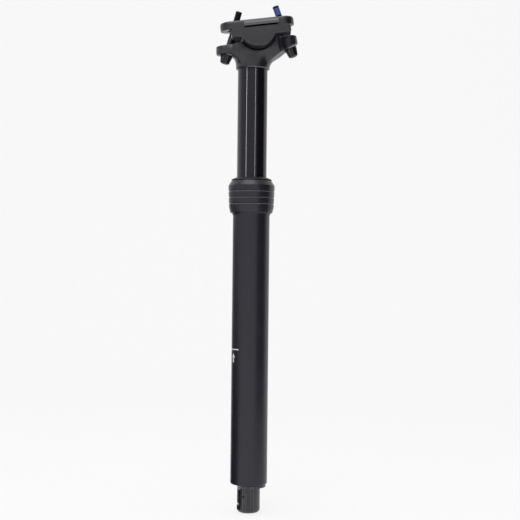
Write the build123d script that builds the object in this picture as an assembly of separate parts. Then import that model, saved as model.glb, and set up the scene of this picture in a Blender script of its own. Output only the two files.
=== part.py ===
from build123d import *
import math
import os

# A dropper seatpost with a sealed gas cartridge, in millimetres. The origin is on the post's axis,
# where the parallel seat tube fit begins. +Z runs up the post, +X points to the rear of the bicycle.
# The post stands fully extended, as it rests.

# Fits that every piece shares
press_gap = 0.02        # pressed, screwed or bonded pieces
run_gap = 0.05          # a sliding or turning piece in its bore
free_gap = 0.3          # pieces that pass without touching
overrun = 3.0           # how far a cutting shape runs past what it cuts

# Travel
travel = 80.0
drop_gap = 0.2          # left between head and wiper when the post is down
bump_gap = 0.6          # left above the bumper when the post is down

# Outer tube
insert_d = 27.2
insert_length = 197.8
tube_wall = 1.4
foot_round = 1.3
shoulder_h = 2.2
shoulder_step = 0.8     # the shoulder's radius over the tube's
neck_h = 17.5           # the screwed neck in the collar
neck_step = 0.4         # the neck's radius over the tube's

# Collar
collar_h = 24.0
collar_foot_wall = 1.4
collar_low_wall = 2.45
collar_high_wall = 3.15
collar_top_wall = 0.8
collar_low_share = 0.18     # ends of the collar's tapered body, as shares of its height
collar_high_share = 0.78
collar_bulge_share = 0.22   # how much of the shoulder's narrowing is done halfway up
collar_lip_h = 2.1
collar_lip_room = 1.6   # from the shaft to the lip's bore
grip_count = 3
grip_first = 6.75       # the lowest turned groove's height in the collar
grip_pitch = 4.6
grip_w = 1.0
grip_depth = 0.45

# Wiper seal and felt ring
wiper_h = 1.9
wiper_gap = 0.3         # the dark line between wiper and collar
wiper_edge = 0.45       # thickness of the wiper's outer edge
wiper_top_wall = 0.75
wiper_overlap = 0.35    # how far the wiper's edge stays inside the collar's top edge
wiper_lip_h = 1.3
wiper_relief = 0.4
felt_h = 1.9

# Stanchion and its guide keys
bush_wall = 1.2
shaft_wall = 2.2
key_groove_w = 5.9
key_groove_depth = 1.2
key_turn = -4.8         # degrees that the grooves are turned about the post
key_length = 16.0
key_inset = 0.8         # the keys' tops below the neck's top
key_bite = 0.95         # how deep the keys sit in the neck
groove_start = 6.0      # the grooves start this far above the stanchion's foot
groove_runout = 1.4     # how far the grooves run into the head
shaft_edge = 0.8
upper_bush_length = 30.0
lower_bush_length = 16.0
lower_bush_inset = 2.0

# Gas cartridge
cylinder_gap = 0.8      # between stanchion and cylinder
cylinder_wall = 1.0
rod_share = 4 / 7       # the rod's radius, as a share of the cylinder's bore
rod_tip_share = 0.75    # the rod's thin top, the pin and the valve's head, of the rod
pin_share = 0.375
valve_head_share = 0.625
pin_neck_share = 0.6    # of the pin
rod_bore_gap = 0.06
seal_head_h = 8.0
seal_ring_rise = 2.7
rod_seal_h = 2.4
rod_seal_share = 2 / 3  # of the room between rod and cylinder, as the next two
washer_share = 0.8
port_share = 1 / 3
clip_inset = 1.1
clip_h = 0.8
clip_w = 2.0
clip_bite = 0.45
washer_h = 0.8
piston_h = 8.0
piston_gap = 0.1        # between piston and top out washer
piston_seal_h = 2.5
piston_seal_depth = 1.1
piston_seal_rise = 2.2
port_drop = 1.6
port_count = 4
valve_cone_h = 1.6
valve_cone_sunk = 0.6
valve_disc_h = 0.8
valve_room = 4.5        # oil left between piston and floating piston when down
float_h = 9.0
float_cup_depth = 5.5
float_wall = 1.6
float_ring_rise = 1.6
ring_cord_d = 1.4       # cord of the rubber rings
ring_groove_w = 1.6
cap_plug_h = 8.0
cap_flange_h = 4.5
cap_stud_h = 13.2
cap_nut_share = 0.77    # the nut's flats, of the hollow it stands in
cap_stud_share = 0.6    # of the nut's flats
cap_nut_h = 5.0
centring_h = 4.0
centring_rise = 1.0

# Base plug, rod nut and bumper
plug_h = 14.0
plug_flange_h = 2.0
plug_flange_step = 0.9  # the flange's radius under the tube's
plug_flat = 6.0         # from the axis to the flange's front flat
plug_ring_rise = 8.0
plug_dish_depth = 3.0
rod_nut_h = 5.0
rod_nut_share = 1.625   # the nut's flats, of the rod
bumper_h = 4.6
bumper_wall = 3.3
bumper_round = 0.9

# Actuator
barrel_d = 17.1
barrel_length = 19.0
barrel_wall = 2.15
barrel_top_h = 2.6
barrel_floor_h = 4.0
barrel_round = 2.8
barrel_relief = 2.1     # the barrel's top is cut down in front, under the flange's flat
spigot_step = 1.55      # the spigot's radius under the barrel's
spigot_h = 5.0
window_w = 9.4
window_depth = 13.4     # from the flange to the window's sill
window_rod_gap = 0.15   # the slot stops this far from the rod
rod_end_drop = 3.4      # the rod's lower end below the tube's foot
lever_drop = 8.5        # the lever's pin below the tube's foot
lever_w = 7.8
lever_hub_r = 2.7
lever_eye_x = -2.9      # the cable barrel's place from the lever's pin
lever_eye_z = 5.95
lever_nose_z = 1.5
lever_nose_r = 1.3
lever_arm_w = 2.0
lever_nose_w = 5.0
lever_tail = 5.5        # how far the lever's back runs below its pin
lever_back_gap = 0.15   # the lever's back inside the barrel's outside
lever_back_w = 1.7
lever_slit_w = 1.8
lever_pin_d = 2.0
nose_gap = 0.15
eye_wall = 0.6          # of the lever round the cable barrel
grub_share = 0.5625     # the grub screw and the cable's bore, of the cable barrel
cable_share = 0.3125
grub_length = 2.4
grub_inset = 0.2
hex_share = 0.55        # width of a socket to its screw
ferrule_d = 5.1
ferrule_depth = 3.2
ferrule_x = -3.0
wire_hole_d = 2.4

# Seat head, seen along Y. The clamp's frame has its origin on the trough's axis and is tilted.
clamp_setback = 3.45
clamp_rise = 26.1       # the trough's axis above the neck's lower edge
clamp_tilt = 6.5        # degrees, rear end up
skirt_wall = 1.25
socket_depth = 8.2
socket_end_gap = 0.4
nose_length = 19.8      # the nose that goes down in the stanchion
nose_floor = 4.5
nose_wall = 2.3
flare_h = 15.6
flare_front = 21.5
flare_rear = 27.3
# height, front reach, rear reach and half width of the flare's sections
flare_shares = ((0.0, 0.0, 0.0, 1.0), (0.17, 0.02, 0.02, 1.005), (0.37, 0.08, 0.14, 1.02),
                (0.59, 0.32, 0.46, 1.03), (0.79, 0.62, 0.74, 1.04), (1.0, 1.0, 1.0, 1.04))
trough_r = 13.2
trough_half_w = 13.0
trough_wall = 3.4
trough_chamfer = 1.5
arm_half_w = 8.0
arm_front = 31.6
arm_rear = 28.2
arm_end_lean = 0.7
arm_top_front = 6.3     # below the trough's axis
arm_top_rear = 3.9
arm_foot = 13.9
arm_seat_front = 12.4   # the arms' undersides around the pockets
arm_seat_rear = 12.3
arm_tip_rear = 10.0
arm_step = 1.2
arm_root_front = 20.5
arm_root_rear = 20.0
belly_front = 14.0
belly_rear = 6.5
belly_drop = 21.5
arm_waist = 20.5        # where the arms reach their own width
body_half = 12.5        # half length of the wide middle
keel_top = 10.0         # below this the head's sides draw in
keel_h = 14.0
pocket_front = 24.4     # the bolt pockets' centres from the trough's axis
pocket_rear = 23.1
pocket_drop = 12.7
pocket_r = 4.75
pocket_half_w = 4.75

# Clamp
rail_d = 7.0
rail_half_gauge = 22.0
rail_rise = 1.5
clamp_wall = 2.0        # round the rails, in both clamp pieces
lower_front = 19.7
lower_rear = 23.8
lower_foot = 5.35
lower_lip_top = 1.2
lower_middle_top = -1.5
lower_front_round = 2.8
lower_rear_round = 1.0
cheek_gap = 0.4         # between the head's sides and the clamp's flanges
slit_h = 0.6
cover_front = 9.3
cover_rear = 15.5
beam_h = 2.9            # the cross beam between the rail covers
wing_front = 27.2
wing_rear = 27.5
wing_half_w = 8.0
wing_foot = 4.6
wing_h = 6.2
wing_round = 1.8
nut_r = 3.9
nut_half_w = 5.7
nut_front = 15.2        # the nuts' centres from the trough's axis
nut_rear = 17.4
nut_inset = 0.4         # the nuts' flat tops below the wings' tops
nut_gap = 0.1
slot_slack = 1.1        # how far a bolt hole is drawn out each way
bolt_hole_gap = 0.4

# Bolts
bolt_d = 5.0
bolt_length = 33.3
bolt_thread_gap = 0.25
thread_length = 20.0
thread_pitch = 0.8
thread_depth = 0.4
head_h = 6.7
head_d = 8.9
head_tip_d = 7.0
head_flange_h = 0.9
head_round = 0.8
flute_count = 6
flute_r = 0.95
flute_out = 0.25        # the flutes' axes outside the head's edge
socket_d = 3.2
socket_h = 2.6
half_washer_r = 4.67
half_washer_half_w = 4.5
patch_length = 5.6
patch_inset = 1.7
patch_depth = 0.5
patch_proud = 0.04
patch_arc = 105.0       # degrees

# Radii and heights worked out from the values above
tube_r = insert_d / 2
bore_r = tube_r - tube_wall
neck_r = tube_r + neck_step
shaft_r = bore_r - bush_wall
shaft_bore_r = shaft_r - shaft_wall
cylinder_r = shaft_bore_r - cylinder_gap
cylinder_bore_r = cylinder_r - cylinder_wall
rod_r = cylinder_bore_r * rod_share
oil_room = cylinder_bore_r - rod_r
rod_tip_r = rod_r * rod_tip_share
pin_r = rod_r * pin_share
rod_bore_r = pin_r + rod_bore_gap
rod_seal_r = rod_r + oil_room * rod_seal_share
port_r = oil_room * port_share / 2
rod_nut_flats = 2 * rod_r * rod_nut_share
hollow_r = shaft_bore_r - nose_wall
cap_nut_flats = 2 * hollow_r * cap_nut_share
cap_stud_r = cap_nut_flats * cap_stud_share / 2
bolt_r = bolt_d / 2
rail_r = rail_d / 2

foot_z = -insert_length
neck_top = shoulder_h + neck_h
collar_top = shoulder_h + collar_h
wiper_top = collar_top + wiper_gap + wiper_h
skirt_z = wiper_top + travel + drop_gap
plug_top = foot_z + plug_h
rod_nut_top = plug_top + rod_nut_h
bumper_top = rod_nut_top + bumper_h
cylinder_foot = bumper_top + bump_gap + travel
shaft_foot = cylinder_foot - lower_bush_inset
shaft_top = skirt_z + socket_depth
clip_z = cylinder_foot + clip_inset
seal_head_z = clip_z + clip_h
seal_head_top = seal_head_z + seal_head_h
piston_z = seal_head_top + washer_h + piston_gap
piston_top = piston_z + piston_h
ring_groove_depth = ring_cord_d + 2 * press_gap
swept_share = (rod_r / cylinder_bore_r) ** 2
float_z = piston_top + travel * (1 - swept_share) + valve_room
nose_z = skirt_z - nose_length
cylinder_top = nose_z - cap_flange_h
flange_z = foot_z - plug_flange_h
barrel_foot = flange_z - barrel_length
barrel_cavity_top = flange_z - barrel_top_h
barrel_floor = barrel_foot + barrel_floor_h
lever_z = foot_z - lever_drop
barrel_r = barrel_d / 2
spigot_r = barrel_r - spigot_step
window_inner = rod_r + window_rod_gap
eye_r = (barrel_r + lever_back_gap - rod_r - free_gap) / 2
eye_x = -rod_r - free_gap - eye_r
lever_x = eye_x - lever_eye_x
cross_r = eye_r - eye_wall
grub_r = cross_r * grub_share
eye_z = lever_z + lever_eye_z
pin_foot = lever_z + lever_nose_z + lever_nose_r + nose_gap

clamp_z = skirt_z + clamp_rise
clamp_frame = Location((clamp_setback, 0, clamp_z), (0, -clamp_tilt, 0))
lower_half_w = rail_half_gauge + rail_r + clamp_wall
cover_top = rail_rise + rail_r + clamp_wall
wing_top = wing_foot + wing_h
nut_z = wing_top - nut_inset
nut_x = {-1: -nut_front, 1: nut_rear}
pocket_x = {-1: -pocket_front, 1: pocket_rear}
cradle_r = trough_r - run_gap


def disc(radius, low, high):
    return Pos(0, 0, low) * extrude(Circle(radius), amount=high - low)


def ring(outer, inner, low, high):
    return disc(outer, low, high) - disc(inner, low - overrun, high + overrun)


def turned(*points):
    return revolve(Plane.XZ * make_face(Polyline(*points, close=True)), axis=Axis.Z)


def block(x0, x1, y0, y1, z0, z1):
    middle = Pos((x0 + x1) / 2, (y0 + y1) / 2, (z0 + z1) / 2)
    return middle * Box(x1 - x0, y1 - y0, z1 - z0)


def cross_rod(radius, half_length, x=0, z=0):
    return Pos(x, 0, z) * Rot(90, 0, 0) * Cylinder(radius, 2 * half_length)


def across(face, half_width):
    return extrude(Plane.XZ * face, amount=half_width, both=True)


def rubber_ring(outer, z):
    return Pos(0, 0, z) * Torus(outer - ring_cord_d / 2, ring_cord_d / 2)


def hexagon(flats, low, high):
    return Pos(0, 0, low) * extrude(RegularPolygon(flats / 2, 6, major_radius=False), amount=high - low)


def bar(x0, z0, x1, z1, width, half_length):
    length = math.hypot(x1 - x0, z1 - z0)
    lean = math.degrees(math.atan2(z1 - z0, x1 - x0))
    middle = Location(((x0 + x1) / 2, 0, (z0 + z1) / 2), (0, -lean, 0))
    return middle * Box(length, 2 * half_length, width)


# Outer tube, collar and seals
def key_seat(gap):
    half = key_groove_w / 2 - run_gap + gap
    reach = neck_r - key_bite + gap
    low = neck_top - key_inset - key_length - gap
    seat = block(-half, half, shaft_r - key_groove_depth, reach, low, neck_top + overrun)
    return [Rot(0, 0, key_turn + side) * seat for side in (0, 180)]


def outer_tube():
    shell = turned(
        (bore_r, foot_z), (tube_r - foot_round, foot_z), (tube_r, foot_z + foot_round), (tube_r, 0),
        (tube_r + shoulder_step, shoulder_h), (neck_r, shoulder_h), (neck_r, neck_top), (bore_r, neck_top))
    return shell - key_seat(press_gap)


def collar():
    low_h = shoulder_h + collar_h * collar_low_share
    high_h = shoulder_h + collar_h * collar_high_share
    edge_h = (high_h + collar_top) / 2
    bulge = neck_r + collar_high_wall - (collar_high_wall - collar_top_wall) * collar_bulge_share
    outline = Polyline(
        (neck_r + collar_top_wall, collar_top), (shaft_r + collar_lip_room, collar_top),
        (shaft_r + collar_lip_room, collar_top - collar_lip_h),
        (neck_r + press_gap, collar_top - collar_lip_h),
        (neck_r + press_gap, shoulder_h), (neck_r + collar_foot_wall, shoulder_h),
        (neck_r + collar_low_wall, low_h), (neck_r + collar_high_wall, high_h))
    shoulder = ThreePointArc(
        (neck_r + collar_high_wall, high_h), (bulge, edge_h), (neck_r + collar_top_wall, collar_top))
    body = revolve(Plane.XZ * make_face([*outline.edges(), shoulder]), axis=Axis.Z)
    for turn in range(grip_count):
        height = shoulder_h + grip_first + turn * grip_pitch
        rise = (height - low_h) / (high_h - low_h)
        skin = neck_r + collar_low_wall + rise * (collar_high_wall - collar_low_wall)
        body -= turned(
            (skin + grip_depth, height - grip_w), (skin - grip_depth, height),
            (skin + grip_depth, height + grip_w))
    return body


def wiper_seal():
    edge_z = collar_top + wiper_gap
    lip = shaft_r + run_gap
    stem = shaft_r + collar_lip_room - press_gap
    foot = collar_top - collar_lip_h
    seal = turned(
        (lip, wiper_top), (shaft_r + wiper_top_wall, wiper_top),
        (neck_r + collar_top_wall - wiper_overlap, edge_z + wiper_edge),
        (neck_r + collar_top_wall - wiper_overlap, edge_z), (stem + wiper_gap, edge_z), (stem, collar_top),
        (stem, foot - press_gap), (neck_r - press_gap, foot - press_gap),
        (neck_r - press_gap, foot - felt_h / 2), (lip + wiper_relief, foot - felt_h / 2),
        (lip + wiper_relief, wiper_top - wiper_lip_h),
        (lip, wiper_top - wiper_lip_h))
    half = key_groove_w / 2 - run_gap
    floor = shaft_r - key_groove_depth + run_gap
    tooth = block(-half, half, floor, shaft_r + wiper_relief, wiper_top - wiper_lip_h, wiper_top)
    for side in (0, 180):
        seal += Rot(0, 0, key_turn + side) * tooth
    return seal


def grease_ring():
    top = collar_top - collar_lip_h - felt_h / 2 - press_gap
    return ring(neck_r - press_gap, shaft_r + run_gap, top - felt_h, top)


def upper_bushing():
    sleeve = ring(bore_r - press_gap, shaft_r + run_gap, neck_top - upper_bush_length, neck_top)
    return sleeve - key_seat(press_gap)


def guide_keys():
    half = key_groove_w / 2 - run_gap
    top = neck_top - key_inset
    low = shaft_r - key_groove_depth + run_gap
    key = block(-half, half, low, neck_r - key_bite, top - key_length, top)
    return Compound([Rot(0, 0, key_turn + side) * key for side in (0, 180)])


# Upper post
def key_grooves():
    half = key_groove_w / 2
    floor = shaft_r - key_groove_depth
    cut = block(-half, half, floor, shaft_r + overrun, shaft_foot + groove_start, skirt_z + groove_runout)
    return [Rot(0, 0, key_turn + side) * cut for side in (0, 180)]


def stanchion():
    tube = turned(
        (shaft_bore_r, shaft_foot), (shaft_r - shaft_edge, shaft_foot), (shaft_r, shaft_foot + shaft_edge),
        (shaft_r, shaft_top), (shaft_bore_r, shaft_top))
    return tube - key_grooves()


def lower_bushing():
    low = shaft_foot + lower_bush_inset
    return ring(bore_r - run_gap, shaft_r + press_gap, low, low + lower_bush_length)


def flare():
    sections = []
    for rise, front, rear, width in flare_shares:
        skirt_r = shaft_r + skirt_wall
        front_x = skirt_r + front * (flare_front - skirt_r)
        rear_x = skirt_r + rear * (flare_rear - skirt_r)
        middle = Pos((rear_x - front_x) / 2, 0, skirt_z + rise * flare_h)
        sections.append(middle * Ellipse((front_x + rear_x) / 2, skirt_r * width))
    return loft(sections)


def arm_outline():
    return Polyline(
        (-arm_front, -arm_top_front), (-arm_front - arm_end_lean, -arm_seat_front),
        (-arm_root_front - arm_step, -arm_seat_front), (-arm_root_front, -arm_foot),
        (-belly_front, -belly_drop), (belly_rear, -belly_drop), (arm_root_rear, -arm_foot),
        (arm_root_rear + arm_step, -arm_seat_rear), (arm_rear + arm_end_lean, -arm_tip_rear),
        (arm_rear, -arm_top_rear), (0, -arm_top_rear), (0, -arm_top_front), close=True)


def arm_plan():
    tip_front = arm_front + arm_end_lean - arm_half_w
    tip_rear = arm_rear + arm_end_lean - arm_half_w
    sweep = Spline((body_half, trough_half_w), (arm_waist, arm_half_w), tangents=((1, 0), (1, 0)))
    quarter = make_face([
        sweep, *Polyline((arm_waist, arm_half_w), (arm_waist, 0), (0, 0), (0, trough_half_w),
                         (body_half, trough_half_w)).edges()])
    half = quarter + mirror(quarter, Plane.XZ)
    middle = half + mirror(half, Plane.YZ)
    reach = tip_front + tip_rear + 2 * arm_half_w
    return middle + Pos((tip_rear - tip_front) / 2, 0) * SlotOverall(reach, 2 * arm_half_w)


def keel_view():
    upper = Rectangle(2 * trough_half_w, 2 * keel_top)
    return upper + Pos(0, -keel_top) * Ellipse(trough_half_w, keel_h)


def arms():
    side = across(make_face(arm_outline()), trough_half_w)
    plan = Pos(0, 0, -belly_drop - overrun) * extrude(arm_plan(), amount=belly_drop + 2 * overrun)
    keel = extrude(Plane.YZ * keel_view(), amount=arm_front + arm_rear, both=True)
    return side & plan & keel


def cradle():
    rim = cross_rod(trough_r + trough_wall, trough_half_w)
    rim = chamfer(rim.edges(), trough_chamfer)
    reach = trough_r + trough_wall + overrun
    half = trough_half_w + overrun
    rim -= block(-reach, 0, -half, half, -arm_top_front, reach)
    return rim - block(0, reach, -half, half, -arm_top_rear, reach)


def bolt_lean(side):
    run = side * (pocket_x[side] - nut_x[side])
    return math.degrees(math.atan2(run, nut_z + pocket_drop))


def bolt_frame(side):
    return clamp_frame * Location((pocket_x[side], 0, -pocket_drop), (0, -side * bolt_lean(side), 0))


def bolt_slot(low, high):
    hole = SlotOverall(2 * (bolt_r + bolt_hole_gap + slot_slack), 2 * (bolt_r + bolt_hole_gap))
    return Pos(0, 0, low) * extrude(hole, amount=high - low)


def washer_pocket(side):
    place = Pos(pocket_x[side], 0, -pocket_drop)
    seat = place * cross_rod(pocket_r, pocket_half_w)
    room = place * block(-pocket_r, pocket_r, -pocket_half_w, pocket_half_w, -belly_drop, 0)
    return clamp_frame * (seat + room)


def seat_head():
    body = flare() + clamp_frame * (arms() + cradle())
    body -= clamp_frame * cross_rod(trough_r, trough_half_w + overrun)
    above = flare_front + flare_rear
    body -= clamp_frame * block(-above, 0, -above, above, -arm_top_front, above)
    body -= clamp_frame * block(0, above, -above, above, -arm_top_rear, above)
    nose_r = shaft_bore_r - press_gap
    socket_top = shaft_top + socket_end_gap
    body -= disc(shaft_r + press_gap, skirt_z - overrun, socket_top)
    body += disc(nose_r, nose_z, socket_top)
    body -= disc(hollow_r, nose_z + nose_floor, clamp_z)
    body -= disc(cap_stud_r + press_gap, nose_z - overrun, clamp_z)
    for side in (-1, 1):
        body -= washer_pocket(side)
        body -= bolt_frame(side) * bolt_slot(0, pocket_drop + overrun)
    return body


# Gas cartridge
def cartridge_cylinder():
    tube = ring(cylinder_r, cylinder_bore_r, cylinder_foot, cylinder_top)
    return tube - disc(cylinder_bore_r + clip_bite, clip_z, clip_z + clip_h)


def cartridge_seal_head():
    body = disc(cylinder_bore_r - press_gap, seal_head_z, seal_head_top)
    body -= disc(rod_r + run_gap, seal_head_z - overrun, seal_head_top + overrun)
    body -= disc(rod_seal_r + press_gap, seal_head_top - rod_seal_h, seal_head_top + overrun)
    groove_z = seal_head_z + seal_ring_rise
    return body - ring(cylinder_r, cylinder_bore_r - ring_groove_depth, groove_z, groove_z + ring_groove_w)


def seal_head_ring():
    return rubber_ring(cylinder_bore_r - press_gap, seal_head_z + seal_ring_rise + ring_groove_w / 2)


def rod_seal():
    return ring(rod_seal_r, rod_r + run_gap, seal_head_top - rod_seal_h, seal_head_top - press_gap)


def cartridge_clip():
    outer = cylinder_bore_r + clip_bite - press_gap
    hoop = ring(outer, outer - clip_w, clip_z + press_gap, clip_z + clip_h - press_gap)
    return hoop - block(0, outer + overrun, -clip_w, clip_w, clip_z - overrun, clip_z + overrun)


def top_out_washer():
    outer = rod_r + oil_room * washer_share
    return ring(outer, rod_r + free_gap, seal_head_top, seal_head_top + washer_h)


def oil_ports():
    reach = rod_r + port_r + run_gap
    high = piston_top - port_drop
    ports = []
    for turn in range(port_count):
        down = Pos(reach, 0, 0) * disc(port_r, piston_z - overrun, high)
        inward = Pos(0, 0, high) * Rot(0, 90, 0) * disc(port_r, 0, reach)
        ports.append(Rot(0, 0, turn * 360 / port_count) * (down + inward))
    return ports


def piston():
    body = disc(cylinder_bore_r - run_gap, piston_z, piston_top)
    body -= disc(rod_tip_r + press_gap, piston_z - overrun, piston_top + overrun)
    groove_z = piston_z + piston_seal_rise
    body -= ring(cylinder_r, cylinder_bore_r - piston_seal_depth, groove_z, groove_z + piston_seal_h)
    return body - oil_ports()


def piston_seal():
    groove_z = piston_z + piston_seal_rise + press_gap
    inner = cylinder_bore_r - piston_seal_depth + press_gap
    return ring(cylinder_bore_r - run_gap, inner, groove_z, groove_z + piston_seal_h - 2 * press_gap)


def piston_rod():
    low = foot_z - rod_end_drop
    rod = disc(rod_r, low, piston_z) + disc(rod_tip_r, piston_z, piston_top)
    rod -= disc(rod_bore_r, low - overrun, piston_top + overrun)
    return rod - oil_ports()


def release_pin():
    neck_z = piston_z - port_drop
    cone_z = piston_top - valve_cone_sunk
    neck = pin_r * pin_neck_share
    head = rod_r * valve_head_share
    disc_z = cone_z + valve_cone_h
    return turned(
        (0, pin_foot), (pin_r, pin_foot), (pin_r, neck_z), (neck, neck_z), (neck, cone_z), (head, disc_z),
        (head, disc_z + valve_disc_h), (0, disc_z + valve_disc_h))


def floating_piston():
    outer = cylinder_bore_r - run_gap
    body = disc(outer, float_z, float_z + float_h)
    top = float_z + float_h
    body -= disc(outer - float_wall - ring_cord_d / 2, top - float_cup_depth, top + overrun)
    groove_z = float_z + float_ring_rise
    return body - ring(cylinder_r, outer - ring_groove_depth, groove_z, groove_z + ring_groove_w)


def floating_piston_ring():
    return rubber_ring(cylinder_bore_r - run_gap, float_z + float_ring_rise + ring_groove_w / 2)


def cartridge_cap():
    body = disc(cylinder_bore_r - press_gap, cylinder_top - cap_plug_h, cylinder_top)
    groove_z = cylinder_top - cap_plug_h / 2
    body -= ring(cylinder_r, cylinder_bore_r - ring_groove_depth, groove_z, groove_z + ring_groove_w)
    body += disc(cylinder_r, cylinder_top, nose_z)
    return body + disc(cap_stud_r, nose_z, nose_z + cap_stud_h)


def cap_ring():
    return rubber_ring(cylinder_bore_r - press_gap, cylinder_top - cap_plug_h / 2 + ring_groove_w / 2)


def cartridge_nut():
    low = nose_z + nose_floor
    nut = hexagon(cap_nut_flats, low, low + cap_nut_h)
    return nut - disc(cap_stud_r + press_gap, low - overrun, low + overrun + cap_nut_h)


def centring_ring():
    low = cylinder_foot + centring_rise
    return ring(shaft_bore_r - press_gap, cylinder_r + press_gap, low, low + centring_h)


# Base plug and rod fixing
def base_plug():
    body = disc(bore_r - press_gap, foot_z, plug_top)
    flange = disc(tube_r - plug_flange_step, flange_z, foot_z)
    body += flange - block(-insert_d, -plug_flat, -insert_d, insert_d, flange_z - overrun, foot_z)
    groove_z = foot_z + plug_ring_rise
    body -= ring(tube_r, bore_r - ring_groove_depth, groove_z, groove_z + ring_groove_w)
    body -= disc(rod_r + press_gap, flange_z - overrun, plug_top + overrun)
    body -= disc(spigot_r + press_gap, flange_z - overrun, flange_z + spigot_h + press_gap)
    rim = bore_r - ring_cord_d - plug_flange_step
    body -= ring(rim, rod_nut_flats / 2 + plug_flange_step, plug_top - plug_dish_depth, plug_top + overrun)
    return body - lever_slot()


def plug_ring():
    return rubber_ring(bore_r - press_gap, foot_z + plug_ring_rise + ring_groove_w / 2)


def rod_locknut():
    nut = hexagon(rod_nut_flats, plug_top, rod_nut_top)
    return nut - disc(rod_r + press_gap, plug_top - overrun, rod_nut_top + overrun)


def bottom_bumper():
    pad = ring(rod_r + press_gap + bumper_wall, rod_r + press_gap, rod_nut_top, bumper_top)
    return fillet(pad.edges().group_by(Axis.Z)[-1].sort_by(SortBy.RADIUS)[-1], bumper_round)


# Actuator under the plug
def lever_slot():
    half = window_w / 2
    return block(-insert_d, -window_inner, -half, half, flange_z - window_depth, foot_z)


def actuator_barrel():
    shell = fillet(disc(barrel_r, barrel_foot, flange_z).edges().sort_by(Axis.Z)[0], barrel_round)
    body = shell + disc(spigot_r, flange_z, flange_z + spigot_h)
    body -= disc(rod_r + run_gap, barrel_cavity_top - overrun, flange_z + spigot_h + overrun)
    body -= disc(barrel_r - barrel_wall, barrel_floor, barrel_cavity_top)
    body -= lever_slot()
    body -= block(-insert_d, -plug_flat, -insert_d, insert_d, flange_z - barrel_relief, foot_z + overrun)
    body -= cross_rod(lever_pin_d / 2 + press_gap, barrel_d, lever_x, lever_z)
    seat = Pos(ferrule_x, 0, 0)
    body -= seat * disc(ferrule_d / 2, barrel_foot - overrun, barrel_foot + ferrule_depth)
    return body - seat * disc(wire_hole_d / 2, barrel_foot, barrel_floor + overrun)


def lever_room():
    low = flange_z - window_depth
    half = window_w / 2
    front = block(-insert_d, -window_inner - run_gap, -half, half, low, foot_z)
    return front + disc(barrel_r - barrel_wall - free_gap, low, barrel_cavity_top)


def release_lever():
    half = lever_w / 2
    back_x = lever_back_gap - barrel_r
    foot = lever_z - lever_tail
    body = cross_rod(lever_hub_r, half, lever_x, lever_z)
    body += cross_rod(eye_r, half, eye_x, eye_z)
    body += bar(lever_x, lever_z, eye_x, eye_z, lever_arm_w, half)
    body += cross_rod(lever_nose_r, lever_nose_w / 2, 0, lever_z + lever_nose_z)
    body += bar(lever_x, lever_z, 0, lever_z + lever_nose_z, 2 * lever_nose_r, lever_nose_w / 2)
    body += block(back_x, back_x + lever_back_w, -half, half, foot, eye_z)
    body += block(back_x, lever_x, -half, half, lever_z - lever_arm_w / 2, lever_z + lever_arm_w / 2)
    body &= disc(-back_x, foot - overrun, foot_z)
    body &= lever_room()
    body -= cross_rod(lever_pin_d / 2 + run_gap, lever_w, lever_x, lever_z)
    body -= cross_rod(cross_r + run_gap, lever_w, eye_x, eye_z)
    slit = lever_slit_w / 2
    inner = lever_x - lever_pin_d / 2 - run_gap
    return body - block(back_x - overrun, inner, -slit, slit, foot - overrun, foot_z)


def lever_pin():
    reach = math.sqrt(barrel_r ** 2 - lever_x ** 2) - lever_back_gap
    return cross_rod(lever_pin_d / 2, reach, lever_x, lever_z)


def cable_barrel():
    body = cross_rod(cross_r, lever_w / 2, eye_x, eye_z)
    tapped = Cylinder(grub_r + press_gap, 2 * (grub_length + grub_inset))
    body -= Pos(eye_x, -lever_w / 2, eye_z) * Rot(90, 0, 0) * tapped
    return body - Pos(eye_x, 0, 0) * disc(cross_r * cable_share, eye_z - 2 * cross_r, eye_z + 2 * cross_r)


def barrel_screw():
    middle = -lever_w / 2 + grub_inset + grub_length / 2
    screw = Pos(eye_x, middle, eye_z) * Rot(90, 0, 0) * Cylinder(grub_r, grub_length)
    key = Rot(90, 0, 0) * extrude(RegularPolygon(grub_r * hex_share, 6), amount=grub_length / 2)
    return screw - Pos(eye_x, middle, eye_z) * key


# Clamp pieces, modelled in the clamp's own frame and then tilted
def rail_cut():
    reach = lower_front + lower_rear
    rail = Pos(0, 0, rail_rise) * Rot(0, 90, 0) * Cylinder(rail_r, 2 * reach)
    return [Pos(0, side * rail_half_gauge, 0) * rail for side in (-1, 1)]


def lower_clamp():
    half_moon = cross_rod(cradle_r, lower_half_w)
    half_moon -= block(-trough_r, trough_r, -lower_half_w, lower_half_w, lower_lip_top, trough_r)
    flange_face = make_face(Polyline(
        (-lower_front, -lower_foot), (lower_rear, -lower_foot), (lower_rear, lower_lip_top),
        (-lower_front, lower_lip_top), close=True))
    corners = flange_face.vertices().group_by(Axis.X)
    flange_face = fillet(corners[0], lower_front_round)
    flange_face = fillet(flange_face.vertices().group_by(Axis.X)[-1], lower_rear_round)
    body = half_moon + across(flange_face, lower_half_w)
    cheek = trough_half_w + cheek_gap
    middle = cross_rod(cradle_r, cheek)
    middle -= block(-trough_r, trough_r, -cheek, cheek, lower_middle_top, trough_r)
    gap = block(-arm_front, arm_front, -cheek, cheek, -trough_r - overrun, trough_r)
    return clamp_frame * ((body - gap + middle) - rail_cut())


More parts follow.
